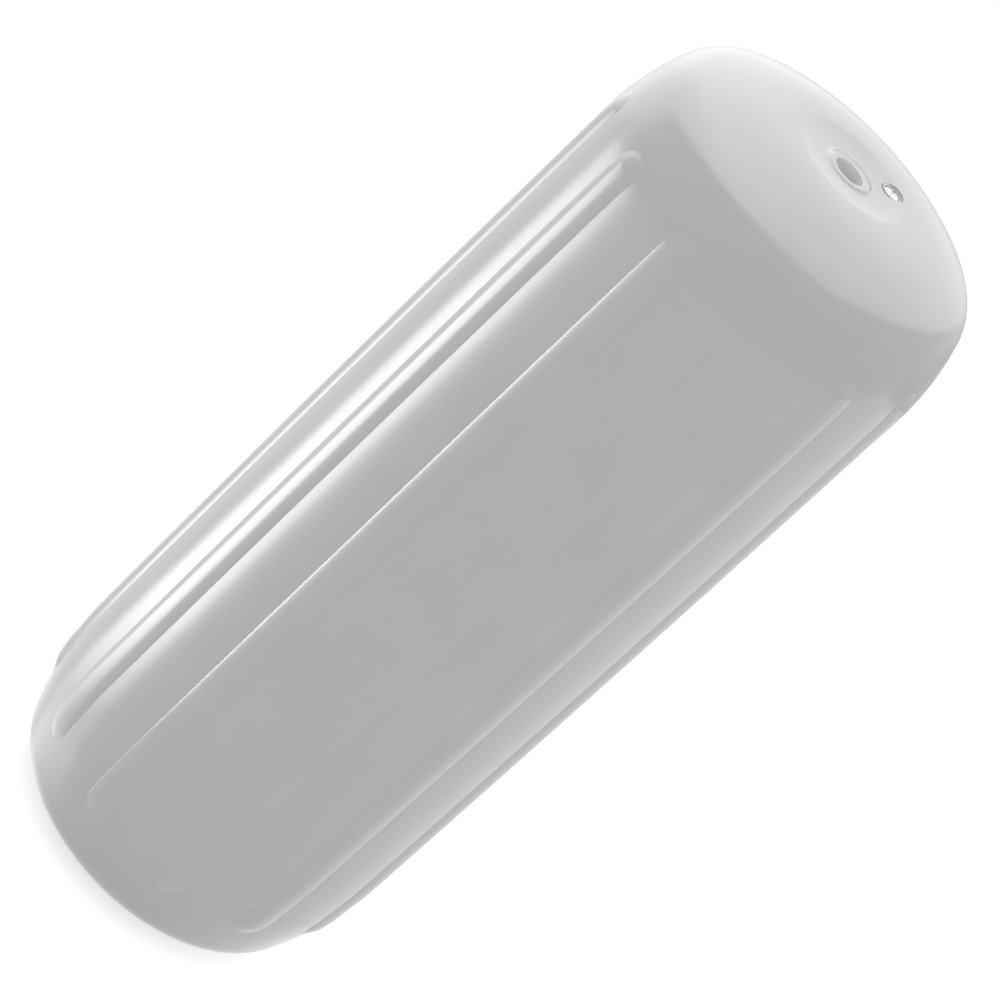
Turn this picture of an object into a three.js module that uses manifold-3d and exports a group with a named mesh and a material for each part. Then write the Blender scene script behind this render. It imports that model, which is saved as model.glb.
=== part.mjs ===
// Cylindrical boat fender with a rope hole down its middle and an air valve in its upper end.
// A moulded vinyl body with rounded ribs along its side stands on its plain end, valve end up.
// Millimetres, +Z up, origin at the middle of the standing end.
import * as THREE from 'three';
import { mergeVertices } from 'three/addons/utils/BufferGeometryUtils.js';
import Module from 'manifold-3d';

const wasm = await Module();
wasm.setup();

// Body: a slightly barrelled side, a long shoulder, a tighter corner and a low dome at each end
const fenderLength = 686;
const overallDiameter = 266.7;
const sideDrop = 1;
const shoulderDepth = 88;
const shoulderRadius = 181;
const cornerRadius = 32;
const domeRadius = 128;
const standingRingRadius = 48;
const standingRingWidth = 6;

// Ribs: rounded pads with a small step at their foot, which end in half circles on the shoulders
const ribCount = 12;
const ribWidth = 24;
const ribHeight = 2.6;
const ribStep = 0.4;
const ribEndInset = 57;
const ribRoundness = 2;
const ribFirstTurn = 15;
const ribRoot = 2;

// Rope hole, with a raised flat landing in the middle of a shallow bowl round each mouth
const ropeHoleDiameter = 22;
const ropeHoleLip = 1;
const landingDiameter = 33;
const landingRise = 0.5;
const bowlDepth = 2.6;

// Valve, in a stepped well in the upper end
const valveOffset = 36.5;
const valveTurn = 42.5;
const valveClearance = 0.3;
const screwSink = 2;
const screwHeadDiameter = 11.8;
const screwHeadHeight = 2.2;
const screwHeadBevel = 0.4;
const screwShankDiameter = 5.6;
const screwShankLength = 9.5;
const slotWidth = 1.4;
const slotDepth = 0.8;
const slotTurn = 90;
const washerDiameter = 11;
const washerThickness = 1.2;
const insertRimSink = 1.3;
const insertRimWidth = 1.4;
const insertFlangeDiameter = 15.4;
const insertFlangeThickness = 2;
const insertBarrelDiameter = 12;
const insertBarrelLength = 9;

// How finely the round forms are cut into facets
const facetsAround = 60;
const facetsAroundValve = 32;
const stepsAlongSide = 4;
const stepsInShoulder = 4;
const stepsInCorner = 6;
const stepsInDome = 4;
const stepsInBowl = 3;
const stepsInLip = 3;
const stepsAlongRib = 4;
const stepsInRibEnd = 4;
const stepsAcrossRib = 6;
const weldDistance = 1e-4;

const sideRadius = overallDiameter / 2 - ribHeight;
const halfLength = fenderLength / 2;
const shoulderHeight = halfLength - shoulderDepth;
const ropeHoleRadius = ropeHoleDiameter / 2;

function degrees(angle) {
  return (angle * Math.PI) / 180;
}

function solidOf(geometry) {
  const bare = geometry.clone();
  bare.deleteAttribute('normal');
  bare.deleteAttribute('uv');
  const merged = mergeVertices(bare, weldDistance);
  const triangles = [];
  const corners = merged.index.array;
  for (let i = 0; i < corners.length; i += 3) {
    const [a, b, c] = corners.slice(i, i + 3);
    if (a !== b && b !== c && c !== a) {
      triangles.push(a, b, c);
    }
  }
  const mesh = new wasm.Mesh({
    numProp: 3,
    vertProperties: new Float32Array(merged.attributes.position.array),
    triVerts: new Uint32Array(triangles),
  });
  return new wasm.Manifold(mesh);
}

function geometryOf(solid) {
  const mesh = solid.getMesh();
  const geometry = new THREE.BufferGeometry();
  geometry.setAttribute('position', new THREE.BufferAttribute(mesh.vertProperties, 3));
  geometry.setIndex(new THREE.BufferAttribute(mesh.triVerts, 1));
  geometry.computeVertexNormals();
  return geometry;
}

// Turns a profile of radius and height round the Z axis
function revolve(profile, facets) {
  const geometry = new THREE.LatheGeometry(profile, facets);
  geometry.rotateX(Math.PI / 2);
  return geometry;
}

function arcPoints(centre, radius, from, to, steps) {
  const points = [];
  for (let i = 0; i <= steps; i += 1) {
    const angle = from + ((to - from) * i) / steps;
    const reach = new THREE.Vector2(Math.cos(angle), Math.sin(angle)).multiplyScalar(radius);
    points.push(centre.clone().add(reach));
  }
  return points;
}

// The centre of a fillet that touches two circles from the inside, on the side away from the axis
function filletCentre(first, firstRadius, second, secondRadius, filletRadius) {
  const a = firstRadius - filletRadius;
  const b = secondRadius - filletRadius;
  const across = second.clone().sub(first);
  const gap = across.length();
  across.divideScalar(gap);
  const along = (gap * gap + a * a - b * b) / (2 * gap);
  const off = Math.sqrt(a * a - along * along);
  const outwards = new THREE.Vector2(-across.y, across.x);
  if (outwards.x + outwards.y < 0) {
    outwards.negate();
  }
  return first.clone().addScaledVector(across, along).addScaledVector(outwards, off);
}

// The shoulder begins at the slope that the barrelled side has there
const sideSlope = Math.atan((2 * sideDrop) / shoulderHeight);
const shoulderCentre = new THREE.Vector2(
  sideRadius - sideDrop - shoulderRadius * Math.cos(sideSlope),
  shoulderHeight - shoulderRadius * Math.sin(sideSlope),
);
const domeCentre = new THREE.Vector2(standingRingRadius, halfLength - domeRadius);
const cornerCentre = filletCentre(
  shoulderCentre, shoulderRadius, domeCentre, domeRadius, cornerRadius,
);
const cornerFrom = cornerCentre.clone().sub(shoulderCentre).angle();
const cornerTo = cornerCentre.clone().sub(domeCentre).angle();

// The radius of the body at a height above or below its middle, down to the end of the shoulder
function bodyRadiusAt(height) {
  const h = Math.abs(height);
  if (h < shoulderHeight) {
    return sideRadius - sideDrop * (h / shoulderHeight) ** 2;
  }
  const rise = h - shoulderCentre.y;
  return shoulderCentre.x + Math.sqrt(shoulderRadius ** 2 - rise ** 2);
}

// One end, from the top of the side over the dome and the bowl to the wall of the rope hole
function endProfile() {
  const ringInside = standingRingRadius - standingRingWidth;
  const landingRadius = landingDiameter / 2;
  const bowlFloor = halfLength - bowlDepth;
  const bowlRun = ringInside - landingRadius;
  const bowlRadius = (bowlRun ** 2 + bowlDepth ** 2) / (2 * bowlDepth);
  const bowlCentre = new THREE.Vector2(landingRadius, bowlFloor + bowlRadius);
  const bowlTurn = Math.asin(bowlRun / bowlRadius);
  const landingHeight = bowlFloor + landingRise;
  const lipCentre = new THREE.Vector2(ropeHoleRadius + ropeHoleLip, landingHeight - ropeHoleLip);
  const up = Math.PI / 2;
  return [
    ...arcPoints(shoulderCentre, shoulderRadius, sideSlope, cornerFrom, stepsInShoulder),
    ...arcPoints(cornerCentre, cornerRadius, cornerFrom, cornerTo, stepsInCorner).slice(1),
    ...arcPoints(domeCentre, domeRadius, cornerTo, up, stepsInDome).slice(1),
    ...arcPoints(bowlCentre, bowlRadius, bowlTurn - up, -up, stepsInBowl),
    new THREE.Vector2(landingRadius - landingRise, landingHeight),
    ...arcPoints(lipCentre, ropeHoleLip, up, Math.PI, stepsInLip),
  ];
}

function bodyProfile() {
  const side = [];
  for (let i = 1; i < stepsAlongSide; i += 1) {
    const height = shoulderHeight * ((2 * i) / stepsAlongSide - 1);
    side.push(new THREE.Vector2(bodyRadiusAt(height), height));
  }
  const upperEnd = endProfile();
  const lowerEnd = upperEnd.map((point) => new THREE.Vector2(point.x, -point.y)).reverse();
  return [...lowerEnd, ...side, ...upperEnd, lowerEnd[0].clone()];
}

// A pad on the side: its height falls off with the distance from its middle line to the step at its
// foot, and its ends are half circles. A row of points crosses it at each place along it, and two
// more points hold its root inside the body.
function ribGeometry() {
  const halfWidth = ribWidth / 2;
  const ribPad = ribHeight - ribStep;
  const straightHalf = halfLength - ribEndInset - halfWidth;
  const rows = [];
  for (let i = -stepsInRibEnd; i < 0; i += 1) {
    const angle = (i * Math.PI) / 2 / stepsInRibEnd;
    rows.push([-straightHalf + halfWidth * Math.sin(angle), halfWidth * Math.cos(angle)]);
  }
  for (let i = 0; i <= stepsAlongRib; i += 1) {
    rows.push([straightHalf * ((2 * i) / stepsAlongRib - 1), halfWidth]);
  }
  for (let i = 1; i <= stepsInRibEnd; i += 1) {
    const angle = (i * Math.PI) / 2 / stepsInRibEnd;
    rows.push([straightHalf + halfWidth * Math.sin(angle), halfWidth * Math.cos(angle)]);
  }
  const points = [];
  for (const [height, reach] of rows) {
    const past = Math.max(Math.abs(height) - straightHalf, 0);
    const across = [];
    for (let j = 0; j <= stepsAcrossRib; j += 1) {
      const offset = reach * Math.sin(Math.PI * (j / stepsAcrossRib - 0.5));
      const share = Math.min(Math.hypot(past, offset) / halfWidth, 1);
      across.push([offset, ribStep + ribPad * (1 - share ** ribRoundness)]);
    }
    across.push([reach, -ribRoot], [-reach, -ribRoot]);
    for (const [offset, rise] of across) {
      const radius = bodyRadiusAt(height) + rise;
      const turn = offset / sideRadius;
      points.push(radius * Math.cos(turn), radius * Math.sin(turn), height);
    }
  }
  const around = points.length / 3 / rows.length;
  const triangles = [];
  for (let i = 0; i + 1 < rows.length; i += 1) {
    for (let j = 0; j < around; j += 1) {
      const here = i * around + j;
      const beside = i * around + ((j + 1) % around);
      triangles.push(here, beside, beside + around, here, beside + around, here + around);
    }
  }
  const last = (rows.length - 1) * around;
  for (let j = 1; j + 1 < around; j += 1) {
    triangles.push(0, j + 1, j, last, last + j, last + j + 1);
  }
  const geometry = new THREE.BufferGeometry();
  geometry.setAttribute('position', new THREE.Float32BufferAttribute(points, 3));
  geometry.setIndex(triangles);
  return geometry;
}

const valvePlace = new THREE.Vector3(
  valveOffset * Math.cos(degrees(valveTurn)),
  valveOffset * Math.sin(degrees(valveTurn)),
  fenderLength,
);

// Depths below the top of the fender, from the screw down to the floor of the well
const headUnderside = screwSink + screwHeadHeight;
const washerTop = headUnderside + valveClearance;
const washerUnderside = washerTop + washerThickness;
const flangeTop = washerUnderside + valveClearance;
const flangeUnderside = flangeTop + insertFlangeThickness;
const barrelEnd = flangeUnderside + insertBarrelLength;
const shankHoleRadius = screwShankDiameter / 2 + valveClearance;

function wellGeometry() {
  const wide = insertFlangeDiameter / 2 + valveClearance;
  const narrow = insertBarrelDiameter / 2 + valveClearance;
  const step = -flangeUnderside - valveClearance;
  const floor = -barrelEnd - valveClearance;
  const above = barrelEnd;
  const profile = [
    [0, floor], [narrow, floor], [narrow, step], [wide, step], [wide, above], [0, above],
  ];
  return revolve(profile.map(([r, z]) => new THREE.Vector2(r, z)), facetsAroundValve);
}

function bodyGeometry() {
  const turned = revolve(bodyProfile(), facetsAround);
  let solid = solidOf(turned);
  for (let i = 0; i < ribCount; i += 1) {
    const rib = ribGeometry().rotateZ(degrees(ribFirstTurn) + (2 * Math.PI * i) / ribCount);
    solid = solid.add(solidOf(rib));
  }
  const well = wellGeometry().translate(valvePlace.x, valvePlace.y, halfLength);
  return geometryOf(solid.subtract(solidOf(well)));
}

function insertGeometry() {
  const hole = shankHoleRadius;
  const barrel = insertBarrelDiameter / 2;
  const flange = insertFlangeDiameter / 2;
  const rim = flange - insertRimWidth;
  const profile = [
    [hole, -barrelEnd], [barrel, -barrelEnd], [barrel, -flangeUnderside],
    [flange, -flangeUnderside], [flange, -insertRimSink], [rim, -insertRimSink],
    [rim, -flangeTop], [hole, -flangeTop], [hole, -barrelEnd],
  ];
  return revolve(profile.map(([r, z]) => new THREE.Vector2(r, z)), facetsAroundValve);
}

function washerGeometry() {
  const hole = shankHoleRadius;
  const rim = washerDiameter / 2;
  const profile = [
    [hole, -washerUnderside], [rim, -washerUnderside], [rim, -washerTop], [hole, -washerTop],
    [hole, -washerUnderside],
  ];
  return revolve(profile.map(([r, z]) => new THREE.Vector2(r, z)), facetsAroundValve);
}

function screwGeometry() {
  const shank = screwShankDiameter / 2;
  const head = screwHeadDiameter / 2;
  const tip = -headUnderside - screwShankLength;
  const profile = [
    [0, tip], [shank - screwHeadBevel, tip], [shank, tip + screwHeadBevel], [shank, -headUnderside],
    [head, -headUnderside], [head, -screwSink - screwHeadBevel],
    [head - screwHeadBevel, -screwSink], [0, -screwSink],
  ];
  const turned = revolve(profile.map(([r, z]) => new THREE.Vector2(r, z)), facetsAroundValve);
  const slot = new THREE.BoxGeometry(screwHeadDiameter + slotWidth, slotWidth, screwHeadHeight);
  slot.rotateZ(degrees(slotTurn)).translate(0, 0, screwHeadHeight / 2 - screwSink - slotDepth);
  return geometryOf(solidOf(turned).subtract(solidOf(slot)));
}

const vinyl = new THREE.MeshStandardMaterial({ color: 0xd9dadb, roughness: 0.28 });
const insertPlastic = new THREE.MeshStandardMaterial({ color: 0xcfd0d1, roughness: 0.4 });
const washerRubber = new THREE.MeshStandardMaterial({ color: 0x8c8e90, roughness: 0.7 });
const screwPlastic = new THREE.MeshStandardMaterial({ color: 0xf4f4f2, roughness: 0.35 });

function named(name, geometry, material) {
  const mesh = new THREE.Mesh(geometry, material);
  mesh.name = name;
  return mesh;
}

const body = named('fender_body', bodyGeometry(), vinyl);
body.position.z = halfLength;

const valve = new THREE.Group();
valve.position.copy(valvePlace);
valve.add(named('valve_insert', insertGeometry(), insertPlastic));
valve.add(named('valve_washer', washerGeometry(), washerRubber));
valve.add(named('valve_screw', screwGeometry(), screwPlastic));

const fender = new THREE.Group();
fender.add(body, valve);

export default fender;
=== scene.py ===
# A boat fender of moulded vinyl, standing on its plain end with its valve end up.
# Sizes are in millimetres and become metres where a mesh, a lamp or the camera is made.
import math

import bpy
import numpy as np
from mathutils import Matrix, Vector


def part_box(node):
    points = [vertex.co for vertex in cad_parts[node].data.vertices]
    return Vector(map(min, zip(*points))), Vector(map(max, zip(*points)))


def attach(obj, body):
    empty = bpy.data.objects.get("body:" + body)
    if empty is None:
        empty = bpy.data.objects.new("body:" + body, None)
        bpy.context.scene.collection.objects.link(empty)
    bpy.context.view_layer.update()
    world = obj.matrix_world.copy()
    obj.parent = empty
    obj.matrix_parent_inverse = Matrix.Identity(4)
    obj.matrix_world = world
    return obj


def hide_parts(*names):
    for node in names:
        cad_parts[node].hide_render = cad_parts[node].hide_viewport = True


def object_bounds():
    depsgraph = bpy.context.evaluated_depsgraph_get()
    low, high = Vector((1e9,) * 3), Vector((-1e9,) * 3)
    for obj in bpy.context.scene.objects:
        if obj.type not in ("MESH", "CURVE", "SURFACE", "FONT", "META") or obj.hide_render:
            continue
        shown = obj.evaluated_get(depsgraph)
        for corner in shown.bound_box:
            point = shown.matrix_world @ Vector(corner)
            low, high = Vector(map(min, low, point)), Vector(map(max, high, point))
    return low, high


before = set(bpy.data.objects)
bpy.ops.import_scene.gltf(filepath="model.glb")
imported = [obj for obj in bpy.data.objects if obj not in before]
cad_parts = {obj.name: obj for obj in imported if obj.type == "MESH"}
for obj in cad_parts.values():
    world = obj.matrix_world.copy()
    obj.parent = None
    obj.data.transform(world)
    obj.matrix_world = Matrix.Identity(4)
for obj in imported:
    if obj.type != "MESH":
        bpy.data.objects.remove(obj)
cad_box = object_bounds()
metre = 0.001

# The camera looks down on the valve end from the front, 27 degrees above the horizon. It is rolled, so that
# the fender's axis runs up to the right at 43 degrees, and the fender's middle lies a little off the middle
# of the picture.
camera_tilt = math.radians(26.97)
axis_slant = math.radians(43.16)
camera_distance = 2814.7
fender_to_the_right = -12.6
fender_below = 11.8
lens_length = 160.54
sensor_size = 36.0


def place_camera():
    """Stands the camera off from the fender's middle along its own right, up and forward directions."""
    forward = Vector((0, math.cos(camera_tilt), -math.sin(camera_tilt)))
    level_right = Vector((1, 0, 0))
    level_up = level_right.cross(forward)
    right = math.sin(axis_slant) * level_right + math.cos(axis_slant) * level_up
    up = math.sin(axis_slant) * level_up - math.cos(axis_slant) * level_right
    offset = fender_to_the_right * right - fender_below * up + camera_distance * forward
    data = bpy.data.cameras.new("camera")
    data.sensor_width = sensor_size
    data.lens = lens_length
    camera = bpy.data.objects.new("camera", data)
    turn = Matrix((right, up, -forward)).transposed().to_4x4()
    middle = (cad_box[0] + cad_box[1]) / 2
    camera.matrix_world = Matrix.Translation(middle - offset * metre) @ turn
    bpy.context.scene.collection.objects.link(camera)
    bpy.context.scene.camera = camera


place_camera()

# The body is one air bag, moulded in a turning mould from glossy grey vinyl and blown up. It has a barrelled
# side with twelve rounded ribs, a shoulder and a low dome at each end, a rope tube through its middle, and a
# boss in the upper end with the well that the valve sits in. The shoulder of its plain end is rounder.
body_low, body_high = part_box("fender_body")
half_length = (body_high.z - body_low.z) / 2 / metre
side_radius = body_high.x / metre
side_drop = 1.0
upper_shoulder = (88.0, 181.0)
lower_shoulder = (110.0, 252.0)
corner_radius = 32.0
dome_radius = 128.0
ring_outside = 48.0
ring_inside = 42.0
rib_count = 12
rib_half_width = 12.0
rib_height = 2.6
rib_step = 0.15
rib_end_inset = 57.0
rib_roundness = 1.7
rib_foot = 0.05
rib_end_foot = 0.12
rib_first_turn = math.radians(15)
hole_radius = 11.0
hole_lip = 1.0
landing_radius = 16.5
landing_rise = 0.5
bowl_depth = 2.6
valve_offset = 36.5
valve_turn = math.radians(42.5)
well_radius = 8.0
well_mouth_round = 0.3
well_step = 8.3
well_inner_radius = 6.3
well_depth = 17.3
well_last_ring = 0.5

# How finely the body's grid is drawn, and where its columns change from those of the ribs to even ones
side_steps = 8
rib_end_steps = 28
rib_end_lead = 10.0
rib_end_trail = 1.5
shoulder_steps = 5
corner_steps = 11
dome_steps = 8
ring_steps = 3
bowl_steps = 7
lip_steps = 5
bore_steps = 4
columns_over_rib = 19
columns_in_foot = 5
columns_between_ribs = 12
foot_reach = 0.6
even_from = 305.0
even_over = 25.0
patch_half_turn = math.radians(18)
patch_half_run = 11.4
patch_rings = 9
well_bend_steps = 5

barrel_half = half_length - upper_shoulder[0]
dome_centre = np.array([ring_outside, half_length - dome_radius])
rib_straight_half = half_length - rib_end_inset - rib_half_width


def fillet_centre(first, first_radius, second, second_radius, radius):
    """Where a circle that touches two larger circles from the inside has its centre: the point at
    first_radius - radius from one centre and second_radius - radius from the other, away from the axis."""
    to_first = first_radius - radius
    to_second = second_radius - radius
    across = second - first
    gap = np.hypot(*across)
    across = across / gap
    along = (gap**2 + to_first**2 - to_second**2) / (2 * gap)
    off = math.sqrt(to_first**2 - along**2)
    outwards = np.array([-across[1], across[0]])
    outwards *= np.sign(outwards.sum())
    return first + across * along + outwards * off


def arc(centre, radius, start, end, count):
    """Centre + radius * (cos, sin) of count angles that run evenly from start to end."""
    angle = np.linspace(start, end, count)
    return centre + radius * np.stack([np.cos(angle), np.sin(angle)], axis=1)


def angle_of(vector):
    """The angle of a vector of radius and height, counted up from the radius."""
    return math.atan2(vector[1], vector[0])


bowl_run = ring_inside - landing_radius
bowl_radius = (bowl_run**2 + bowl_depth**2) / (2 * bowl_depth)
bowl_centre = np.array([landing_radius, half_length - bowl_depth + bowl_radius])
landing_height = half_length - bowl_depth + landing_rise


def half_meridian(shoulder_depth, shoulder_radius):
    """One half of the body's profile as rows of radius and height, from the middle of the side over the
    shoulder, corner, dome, standing ring, bowl and landing to the middle of the rope hole. The side drops
    with the square of the height, and the shoulder is an arc that starts at the slope of the side there."""
    up = math.pi / 2
    start = half_length - shoulder_depth
    slope = math.atan(2 * side_drop * start / barrel_half**2)
    shoulder_centre = np.array([
        side_radius - side_drop * (start / barrel_half) ** 2 - shoulder_radius * math.cos(slope),
        start - shoulder_radius * math.sin(slope),
    ])
    corner_centre = fillet_centre(
        shoulder_centre, shoulder_radius, dome_centre, dome_radius, corner_radius,
    )
    corner_start = angle_of(corner_centre - shoulder_centre)
    corner_end = angle_of(corner_centre - dome_centre)
    rib_end = rib_straight_half + rib_half_width
    rise = np.concatenate([
        np.linspace(0, rib_straight_half - rib_end_lead, side_steps + 1),
        np.linspace(rib_straight_half, rib_end + rib_end_trail, rib_end_steps + 1),
    ])
    low = rise[rise < start]
    high = rise[rise > start] - shoulder_centre[1]
    side = np.stack([side_radius - side_drop * (low / barrel_half) ** 2, low], axis=1)
    rib_ends = np.stack([
        shoulder_centre[0] + np.sqrt(shoulder_radius**2 - high**2), high + shoulder_centre[1],
    ], axis=1)
    shoulder_start = angle_of(rib_ends[-1] - shoulder_centre)
    shoulder = arc(shoulder_centre, shoulder_radius, shoulder_start, corner_start, shoulder_steps + 1)[1:]
    corner = arc(corner_centre, corner_radius, corner_start, corner_end, corner_steps + 1)[1:]
    dome = arc(dome_centre, dome_radius, corner_end, up, dome_steps + 1)[1:]
    ring_reach = np.linspace(ring_outside, ring_inside, ring_steps + 1)[1:]
    ring = np.stack([ring_reach, np.full(ring_steps, half_length)], axis=1)
    bowl_start = math.asin(bowl_run / bowl_radius) - up
    bowl = arc(bowl_centre, bowl_radius, bowl_start, -up, bowl_steps + 1)[1:]
    lip_centre = np.array([hole_radius + hole_lip, landing_height - hole_lip])
    landing = np.array([
        [landing_radius - landing_rise / 2, landing_height],
        [(landing_radius + lip_centre[0]) / 2, landing_height],
    ])
    lip = arc(lip_centre, hole_lip, up, math.pi, lip_steps + 1)
    bore_height = np.linspace(lip_centre[1], 0, bore_steps + 1)[1:]
    bore = np.stack([np.full(bore_steps, hole_radius), bore_height], axis=1)
    return np.concatenate([side, rib_ends, shoulder, corner, dome, ring, bowl, landing, lip, bore])


def end_height(radius):
    """How high the upper end is at a radius: on the dome's arc, the flat ring, the bowl's arc or the
    landing, where an arc's height is its centre's plus or minus sqrt(radius**2 - run**2)."""
    dome = dome_centre[1] + np.sqrt(np.maximum(dome_radius**2 - (radius - ring_outside) ** 2, 0))
    bowl = bowl_centre[1] - np.sqrt(np.maximum(bowl_radius**2 - (radius - landing_radius) ** 2, 0))
    height = np.where(radius > ring_outside, dome, half_length)
    height = np.where(radius < ring_inside, bowl, height)
    return np.where(radius < landing_radius, landing_height, height)


def column_angles():
    """Angles round the axis for one row: even over each rib, close together at its feet, and in between at
    the places (1 - cos(pi t)) / 2 of the gap, so that the shading of a foot keeps to itself."""
    foot = np.linspace(1 - foot_reach * rib_foot, 1 + foot_reach * rib_foot, columns_in_foot)
    over = np.linspace(-foot[0], foot[0], columns_over_rib + 2)[1:-1]
    over = np.concatenate([-foot[::-1], over, foot]) * rib_half_width / side_radius
    valley = 2 * math.pi / rib_count - 2 * over[-1]
    t = np.linspace(0, 1, columns_between_ribs + 2)[1:-1]
    between = over[-1] + valley * (1 - np.cos(math.pi * t)) / 2
    one = np.concatenate([over, between])
    turns = rib_first_turn + 2 * math.pi * np.arange(rib_count) / rib_count
    return (turns[:, None] + one[None, :]).ravel()


def rib_rise(height, angle):
    """How far the skin stands out. Over a rib it is the step plus a pad of 1 - s ** rib_roundness, where s
    is the distance from the rib's middle line over its half width. At s = 1 it falls to nothing in a smooth
    ramp."""
    spacing = 2 * math.pi / rib_count
    offset = ((angle - rib_first_turn + spacing / 2) % spacing - spacing / 2) * side_radius
    past = np.maximum(np.abs(height) - rib_straight_half, 0)
    share = np.hypot(past, offset) / rib_half_width
    pad = rib_step + (rib_height - rib_step) * (1 - np.minimum(share, 1) ** rib_roundness)
    foot = rib_foot + (rib_end_foot - rib_foot) * np.clip(past / rib_half_width, 0, 1)
    ramp = np.clip(0.5 + (1 - share) / foot, 0, 1)
    return pad * ramp**2 * (3 - 2 * ramp)


def well_rings(start):
    """Rings of points for the valve's well. The first ones run over the end's surface, from a loop of points
    round the valve to the well's round mouth, and mix the two by share: loop * (1 - share) + circle * share.
    The next ones bend down round the mouth, and the last are circles at the steps of the well."""
    valve = valve_offset * np.array([math.cos(valve_turn), math.sin(valve_turn)])
    edge = start[:, :2] - valve
    bearing = np.arctan2(edge[:, 1], edge[:, 0])
    ray = np.stack([np.cos(bearing), np.sin(bearing)], axis=1)
    mouth = well_radius + well_mouth_round
    share = np.linspace(0, 1, patch_rings + 1)[1:, None, None]
    flat = valve + edge * (1 - share) + ray * mouth * share
    surface = end_height(np.hypot(flat[..., 0], flat[..., 1])) + half_length
    rings = [np.concatenate([flat, surface[..., None]], axis=2)]
    brim = surface[-1]
    well = []
    for bend in np.linspace(0, math.pi / 2, well_bend_steps + 1)[1:]:
        inwards = well_mouth_round * math.sin(bend)
        down = well_mouth_round * (1 - math.cos(bend))
        well.append((mouth - inwards, brim - down))
    top = 2 * half_length
    for reach, depth in [
        (well_radius, well_step),
        (well_inner_radius, well_step),
        (well_inner_radius, well_depth),
        (well_last_ring, well_depth),
    ]:
        well.append((reach, np.full(len(start), top - depth)))
    for reach, level in well:
        ring = np.concatenate([valve + ray * reach, level[:, None]], axis=1)
        rings.append(ring[None])
    return np.concatenate(rings)


def body_surface():
    """The body as one closed grid of rows along the profile and columns round the axis: radius times cosine
    and sine of the angle, with the ribs' rise added. A block of it round the valve is left out, and the rings
    of the valve's well are sewn to the block's edge."""
    upper = half_meridian(*upper_shoulder)
    lower = half_meridian(*lower_shoulder)[-2:0:-1] * np.array([1, -1])
    profile = np.concatenate([upper, lower])
    rows = len(profile)
    clustered = column_angles()
    columns = len(clustered)
    even = clustered[0] + 2 * math.pi * np.arange(columns) / columns
    radius = profile[:, :1]
    height = profile[:, 1:]
    evenness = np.clip((np.abs(height) - even_from) / even_over, 0, 1)
    evenness = np.where(radius < hole_radius + hole_lip, 1, evenness)
    angle = evenness * even + (1 - evenness) * clustered
    outside = radius > side_radius / 2
    stand_out = radius + np.where(outside, rib_rise(height, angle), 0)
    grid = np.stack([
        stand_out * np.cos(angle),
        stand_out * np.sin(angle),
        np.broadcast_to(height, angle.shape) + half_length,
    ], axis=2)

    row, column = np.meshgrid(np.arange(rows), np.arange(columns), indexing="ij")
    corners = [(row, column), (row, column + 1), (row + 1, column + 1), (row + 1, column)]
    quads = np.stack([(r % rows) * columns + c % columns for r, c in corners], axis=2)

    near = np.abs(profile[:, 0] - valve_offset) < patch_half_run
    near &= profile[:, 1] > 0
    first_row, last_row = np.flatnonzero(near)[[0, -1]]
    turn = (even - valve_turn + math.pi) % (2 * math.pi) - math.pi
    block = np.flatnonzero(np.abs(turn) < patch_half_turn)
    block = block[np.argsort(turn[block])]
    keep = np.ones((rows, columns), bool)
    keep[first_row:last_row, block[:-1]] = False
    faces = quads[keep]

    edge_rows = np.arange(first_row, last_row + 1)
    loop = np.concatenate([
        edge_rows[0] * columns + block[:-1],
        edge_rows[:-1] * columns + block[-1],
        edge_rows[-1] * columns + block[:0:-1],
        edge_rows[:0:-1] * columns + block[0],
    ])
    points = grid.reshape(-1, 3)
    rings = well_rings(points[loop])
    added = len(points) + np.arange(rings.shape[0] * rings.shape[1])
    index = np.concatenate([loop[None], added.reshape(-1, len(loop))])
    ahead = np.roll(index, -1, axis=1)
    patch = np.stack([index[:-1], ahead[:-1], ahead[1:], index[1:]], axis=2).reshape(-1, 4)
    well_floor = list(index[-1])
    points = np.concatenate([points, rings.reshape(-1, 3)])
    return points, np.concatenate([faces, patch]).tolist() + [well_floor]


def new_piece(name, points, faces, slot, *nodes):
    """Makes a smooth mesh object of points in millimetres, outside faces out, that stands for CAD nodes."""
    mesh = bpy.data.meshes.new(name)
    mesh.from_pydata((points * metre).tolist(), [], faces)
    mesh.validate()
    mesh.shade_smooth()
    piece = bpy.data.objects.new(name, mesh)
    bpy.context.scene.collection.objects.link(piece)
    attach(piece, "root")
    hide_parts(*nodes)
    return piece


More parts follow.
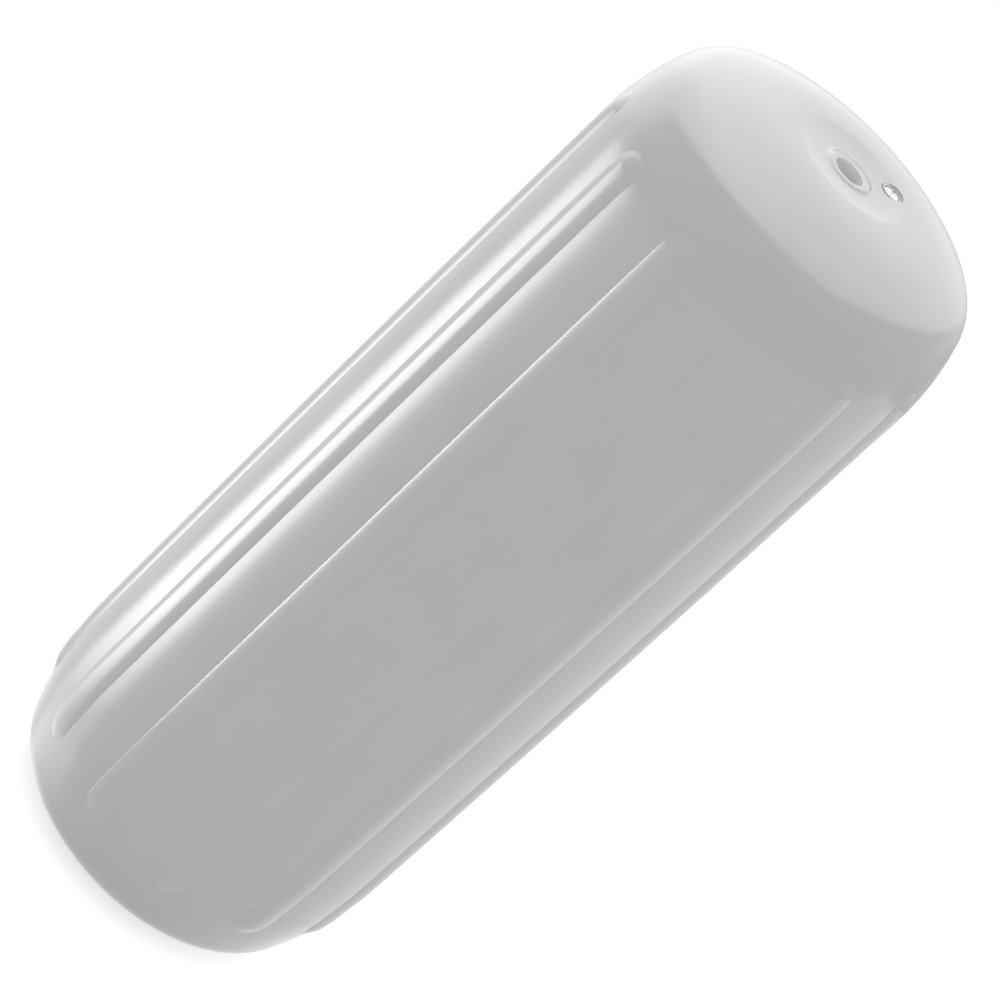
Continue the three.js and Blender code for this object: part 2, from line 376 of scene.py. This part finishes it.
class Link:
    """One socket in a material's node tree. Sums and products of links add the Math nodes that work them
    out."""

    def __init__(self, tree, socket=None):
        self.tree = tree
        self.socket = socket

    def node(self, kind, settings=None, inputs=None, output=0):
        """Adds a node: first its settings, then the values or links of its sockets."""
        made = self.tree.nodes.new(kind)
        for name, value in (settings or {}).items():
            setattr(made, name, value)
        for name, value in (inputs or {}).items():
            if isinstance(value, Link):
                self.tree.links.new(value.socket, made.inputs[name])
            else:
                made.inputs[name].default_value = value
        return Link(self.tree, made.outputs[output])

    def colour(self, red, green, blue):
        return self.node("ShaderNodeCombineColor", {}, {"Red": red, "Green": green, "Blue": blue})

    def noise(self, place, size, detail):
        """Noise whose lumps are about size millimetres wide, from 0 to 1 with a mean of a half."""
        inputs = {"Vector": place, "Scale": 1 / (size * metre), "Detail": detail}
        return self.node("ShaderNodeTexNoise", {}, inputs)

    def bump(self, height):
        """The normal of a skin whose relief is height millimetres."""
        return self.node("ShaderNodeBump", {}, {"Height": height, "Distance": metre})

    def math(self, operation, first, second):
        return self.node("ShaderNodeMath", {"operation": operation}, {0: first, 1: second})

    def __add__(self, other):
        return self.math("ADD", self, other)

    __radd__ = __add__

    def __sub__(self, other):
        return self.math("SUBTRACT", self, other)

    def __rsub__(self, other):
        return self.math("SUBTRACT", other, self)

    def __mul__(self, other):
        return self.math("MULTIPLY", self, other)

    __rmul__ = __mul__


def new_material(name, build):
    """A material whose surface is the shader that build returns, given an empty link into its tree."""
    material = bpy.data.materials.new(name)
    material.use_nodes = True
    tree = material.node_tree
    tree.nodes.clear()
    shader = build(Link(tree))
    output = tree.nodes.new("ShaderNodeOutputMaterial")
    tree.links.new(shader.socket, output.inputs["Surface"])
    return material


vinyl_grey = 0.49
# Painted light: the rope hole's wall gets this paler grey in place of the light that comes through the vinyl
# round it.
bore_painted_light_grey = 0.78
vinyl_cloud = 0.03
vinyl_roughness = 0.17
vinyl_cloud_roughness = 0.08
vinyl_grain_roughness = 0.04
vinyl_cloud_size = 45.0
vinyl_cloud_detail = 3
vinyl_wave_size = 9.0
vinyl_wave_detail = 1
vinyl_wave_depth = 0.012
vinyl_grain_size = 0.7
vinyl_grain_detail = 2
vinyl_grain_depth = 0.0015
vinyl_ior = 1.5


def vinyl_finish(start):
    """Glossy moulded vinyl. Its grey clouds a little over tens of millimetres, its skin waves by a hundredth
    of a millimetre, as moulded vinyl does, and a fine grain breaks up the gloss. The wall of the rope hole
    has painted light: its grey is made paler, to stand in for the light that comes through the vinyl round
    it."""
    place = start.node("ShaderNodeTexCoord", output="Object")
    cloud = start.noise(place, vinyl_cloud_size, vinyl_cloud_detail) - 0.5
    grain = start.noise(place, vinyl_grain_size, vinyl_grain_detail)
    wave = start.noise(place, vinyl_wave_size, vinyl_wave_detail)
    across = start.node("ShaderNodeVectorMath", {"operation": "MULTIPLY"}, {0: place, 1: (1, 1, 0)})
    from_axis = start.node("ShaderNodeVectorMath", {"operation": "LENGTH"}, {0: across}, output="Value")
    # Painted light: inside the rope hole the grey is made paler, in place of the light that comes through the
    # vinyl round the hole.
    bore_painted_light_mask = from_axis.math("LESS_THAN", from_axis, (hole_radius + hole_lip / 2) * metre)
    shade = vinyl_grey + bore_painted_light_mask * (bore_painted_light_grey - vinyl_grey) + cloud * vinyl_cloud
    roughness = vinyl_roughness + vinyl_cloud_roughness * cloud + vinyl_grain_roughness * (grain - 0.5)
    relief = wave * vinyl_wave_depth + grain * vinyl_grain_depth
    return start.node("ShaderNodeBsdfPrincipled", {}, {
        "Base Color": start.colour(shade, shade, shade),
        "Roughness": roughness,
        "Normal": start.bump(relief),
        "IOR": vinyl_ior,
    })


body = new_piece("fender_skin", *body_surface(), "vinyl", "fender_body")
body.data.materials.append(new_material("vinyl", vinyl_finish))

# The valve insert is a bush of hard light grey plastic, moulded by itself and then fixed in the vinyl boss.
# It is a cup whose rim stands round the screw's head, and the screw's shank runs down its barrel.
insert_grey = 0.56
insert_cloud = 0.05
insert_cloud_size = 2.5
insert_cloud_detail = 3
insert_grain_size = 0.25
insert_grain_detail = 2
insert_grain_depth = 0.004
insert_roughness = 0.36
insert_grain_roughness = 0.1


def dress(name, material, finish):
    """Gives a solid of the frame, which stays as it is, the material that finish builds."""
    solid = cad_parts[name]
    solid.data.materials.clear()
    solid.data.materials.append(new_material(material, finish))


def insert_finish(start):
    """Satin moulded plastic: a fine grain in the relief and the gloss, and a faint cloud in the grey."""
    place = start.node("ShaderNodeTexCoord", output="Object")
    grain = start.noise(place, insert_grain_size, insert_grain_detail)
    cloud = start.noise(place, insert_cloud_size, insert_cloud_detail)
    shade = insert_grey + insert_cloud * (cloud - 0.5)
    return start.node("ShaderNodeBsdfPrincipled", {}, {
        "Base Color": start.colour(shade, shade, shade),
        "Roughness": insert_roughness + insert_grain_roughness * (grain - 0.5),
        "Normal": start.bump(grain * insert_grain_depth),
    })


dress("valve_insert", "insert_plastic", insert_finish)

# The washer is a flat ring that is cut from a sheet of dark rubber. It lies on the floor of the cup, and the
# screw's head presses it down, so that it keeps the air in.
washer_grey = 0.32
washer_blue_share = 1.03
washer_speck = 0.10
washer_speck_size = 0.35
washer_speck_detail = 4
washer_speck_depth = 0.02
washer_roughness = 0.74
washer_speck_roughness = 0.12


def washer_finish(start):
    """Matte rubber, speckled by the filler in it, with the faint tooth of a cut sheet."""
    place = start.node("ShaderNodeTexCoord", output="Object")
    speck = start.noise(place, washer_speck_size, washer_speck_detail)
    shade = washer_grey + washer_speck * (speck - 0.5)
    return start.node("ShaderNodeBsdfPrincipled", {}, {
        "Base Color": start.colour(shade, shade, washer_blue_share * shade),
        "Roughness": washer_roughness + washer_speck_roughness * (speck - 0.5),
        "Normal": start.bump(speck * washer_speck_depth),
    })


dress("valve_washer", "washer_rubber", washer_finish)

# The valve screw is moulded in white plastic, with a slot across its low round head. It is turned down on
# the washer to close the valve, and the blade of a screwdriver leaves its head a little scuffed.
screw_white = 0.86
screw_blue_share = 0.99
screw_scuff = 0.05
screw_scuff_size = 1.1
screw_scuff_detail = 4
screw_ring_pitch = 0.45
screw_ring_depth = 0.004
screw_roughness = 0.3
screw_scuff_roughness = 0.15


def screw_finish(start):
    """White plastic. Faint rings round its axis, a sine of the distance from it, show how its mould was
    turned, and soft scuffs change the white and the gloss."""
    place = start.node("ShaderNodeTexCoord", output="Object")
    reach = valve_offset * metre
    axis = (reach * math.cos(valve_turn), reach * math.sin(valve_turn), 0)
    offset = start.node("ShaderNodeVectorMath", {"operation": "SUBTRACT"}, {0: place, 1: axis})
    flat = start.node("ShaderNodeVectorMath", {"operation": "MULTIPLY"}, {0: offset, 1: (1, 1, 0)})
    from_axis = start.node("ShaderNodeVectorMath", {"operation": "LENGTH"}, {0: flat}, output="Value")
    ring = start.math("SINE", from_axis * (2 * math.pi / (screw_ring_pitch * metre)), 0)
    scuff = start.noise(place, screw_scuff_size, screw_scuff_detail)
    shade = screw_white + screw_scuff * (scuff - 0.5)
    return start.node("ShaderNodeBsdfPrincipled", {}, {
        "Base Color": start.colour(shade, shade, screw_blue_share * shade),
        "Roughness": screw_roughness + screw_scuff_roughness * (scuff - 0.5),
        "Normal": start.bump(ring * screw_ring_depth),
    })


dress("valve_screw", "screw_plastic", screw_finish)

# The floor is a sheet of white paper, which keeps the fender's shadow. The camera sees it as white as the
# room, and the fender's gloss shows it as bright as a lit studio floor is. It ends behind the fender.
floor_size = 6000.0
floor_back = 1350.0
floor_grey = 0.8
floor_white = 0.6
floor_shine = 0.70


def floor_finish(start):
    """Matt white paper, plus a glow of one strength for the camera and another for reflections."""
    rays = start.tree.nodes.new("ShaderNodeLightPath")
    to_camera = Link(start.tree, rays.outputs["Is Camera Ray"])
    to_gloss = Link(start.tree, rays.outputs["Is Glossy Ray"])
    glow = floor_white * to_camera + floor_shine * to_gloss
    matt = start.node("ShaderNodeBsdfDiffuse", {}, {"Color": (floor_grey, floor_grey, floor_grey, 1)})
    white = start.node("ShaderNodeEmission", {}, {"Color": (1, 1, 1, 1), "Strength": glow})
    return start.node("ShaderNodeAddShader", {}, {0: matt, 1: white})


mesh = bpy.data.meshes.new("floor")
half = floor_size / 2 * metre
back = floor_back * metre
corners = [(-half, -half, 0), (half, -half, 0), (half, back, 0), (-half, back, 0)]
mesh.from_pydata(corners, [], [(0, 1, 2, 3)])
floor = bpy.data.objects.new("floor", mesh)
bpy.context.scene.collection.objects.link(floor)
floor.data.materials.append(new_material("floor_sheet", floor_finish))

# A softbox overhead lights the fender. A sheet of light lies on the floor at its left and shows in its gloss
# only, where it makes the long highlight. The sheet spreads away from the fender in a fan with soft edges,
# and its front side, which is nearer the camera, is the brighter one.
softbox_place = (-900.0, 500.0, 1900.0)
softbox_target = (0, 0, 400)
softbox_size = 900.0
softbox_strength = 1.6
sheet_lamp = 1.0
sheet_height = 4.0
sheet_size = 3000.0
sheet_near = 290.0
sheet_near_softness = 200.0
sheet_edge = 90.0
sheet_edge_softness = 60.0
sheet_edge_share = 0.17
sheet_far = 1900.0
sheet_far_softness = 1600.0
fan_start = -90.0
fan_front = -0.27
fan_back = 0.41
fan_softness = 0.12
fan_tail = 0.16
fan_tail_front = -0.40
fan_tail_softness = 0.38
sheet_bright = 9.0
sheet_dim = 5.5


def add_softbox(name, place, target, size, strength):
    """A square lamp that faces its target. Strength is the brightness of its face."""
    data = bpy.data.lights.new(name, "AREA")
    data.shape = "SQUARE"
    data.size = size * metre
    data.energy = strength * math.pi * data.size**2
    lamp = bpy.data.objects.new(name, data)
    way = (Vector(target) - Vector(place)).normalized()
    turn = way.to_track_quat("-Z", "Y").to_matrix().to_4x4()
    lamp.matrix_world = Matrix.Translation(Vector(place) * metre) @ turn
    lamp.visible_camera = False
    bpy.context.scene.collection.objects.link(lamp)
    return lamp


def share_past(link, edge, softness):
    """0 below the edge, 1 past it, with a ramp as wide as the softness between."""
    place = (link - (edge - softness / 2)) * (1 / softness)
    return link.node("ShaderNodeClamp", {}, {"Value": place})


top = add_softbox("overhead_softbox", softbox_place, softbox_target, softbox_size, softbox_strength)
top.visible_glossy = False

sheet_place = (-sheet_size / 2, 0, sheet_height)
sheet_target = (-sheet_size / 2, 0, sheet_size)
sheet = add_softbox("floor_sheet_light", sheet_place, sheet_target, sheet_size, sheet_lamp)
sheet.visible_diffuse = False
sheet.data.use_nodes = True
tree = sheet.data.node_tree
tree.nodes.clear()
start = Link(tree)
place = start.node("ShaderNodeNewGeometry", output="Position")
split = place.node("ShaderNodeSeparateXYZ", {}, {0: place})
away = split * (-1 / metre)
to_back = Link(tree, split.socket.node.outputs["Y"]) * (1 / metre)
fan = start.math("DIVIDE", to_back - fan_start, away)
rising = (1 - fan_tail) * share_past(fan, fan_front, fan_softness)
rising += fan_tail * share_past(fan, fan_tail_front, fan_tail_softness)
across = rising - share_past(fan, fan_back, fan_softness)
along = (1 - sheet_edge_share) * share_past(away, sheet_near, sheet_near_softness)
along += sheet_edge_share * share_past(away, sheet_edge, sheet_edge_softness)
along = along - share_past(away, sheet_far, sheet_far_softness)
depth = start.node("ShaderNodeMapRange", {}, {
    "Value": fan,
    "From Min": fan_front,
    "From Max": fan_back,
    "To Min": sheet_bright,
    "To Max": sheet_dim,
})
strength = across * along * depth
glow = start.node("ShaderNodeEmission", {}, {"Color": (1, 1, 1, 1), "Strength": strength})
output = tree.nodes.new("ShaderNodeOutputLight")
tree.links.new(glow.socket, output.inputs["Surface"])

# The world is an even white room. In the gloss its upper back part is brighter, and more so to the left, and
# below the horizon it is darker. The bright part is what a surface that faces up by more than cap_edge would
# mirror to someone who looks down by cap_view. It ends at the right, along a slanting line.
room_light = 0.85
room_gloss = 1.0
room_bright_low = 1.4
room_bright_high = 2.7
room_bright_left = 2.3
room_left_most = 0.5
room_dark = 0.4
room_dark_depth = 0.15
room_dark_softness = 0.2
cap_view = math.radians(20.42)
cap_edge = math.radians(38.35)
cap_edge_softness = 0.15
cap_edge_left = 0.5
room_right_rise = 0.95
room_right_back = 0.4
room_right_softness = 0.12
world = bpy.data.worlds.new("studio")
bpy.context.scene.world = world
world.use_nodes = True
tree = world.node_tree
tree.nodes.clear()
start = Link(tree)
rays = tree.nodes.new("ShaderNodeLightPath")
to_camera = Link(tree, rays.outputs["Is Camera Ray"])
to_gloss = Link(tree, rays.outputs["Is Glossy Ray"])
way = start.node("ShaderNodeTexCoord", output="Generated")
split = start.node("ShaderNodeSeparateXYZ", {}, {0: way})
to_right = split
to_back = Link(tree, split.socket.node.outputs["Y"])
up = Link(tree, split.socket.node.outputs["Z"])
facing = up + math.sin(cap_view)
turned = 2 - 2 * math.cos(cap_view) * to_back + 2 * math.sin(cap_view) * up
past_edge = facing * facing - math.sin(cap_edge) ** 2 * turned
left = start.math("MAXIMUM", 0 - to_right, 0)
above = share_past(past_edge + cap_edge_left * left, 0, cap_edge_softness)
slant = up * room_right_rise + to_back * room_right_back
beside = share_past(slant - to_right, 0, room_right_softness)
rise = up * (room_bright_high - room_bright_low)
left_share = start.math("MINIMUM", left, room_left_most)
bright = above * beside * (room_bright_low - room_gloss + rise + room_bright_left * left_share)
dark = room_dark * share_past(0 - up, room_dark_depth, room_dark_softness)
gloss = bright + room_gloss - dark
strength = room_light + (1 - room_light) * to_camera + (gloss - room_light) * to_gloss
background = start.node("ShaderNodeBackground", {}, {"Color": (1, 1, 1, 1), "Strength": strength})
output = tree.nodes.new("ShaderNodeOutputWorld")
tree.links.new(background.socket, output.inputs["Surface"])

bpy.context.scene.view_settings.view_transform = "Standard"
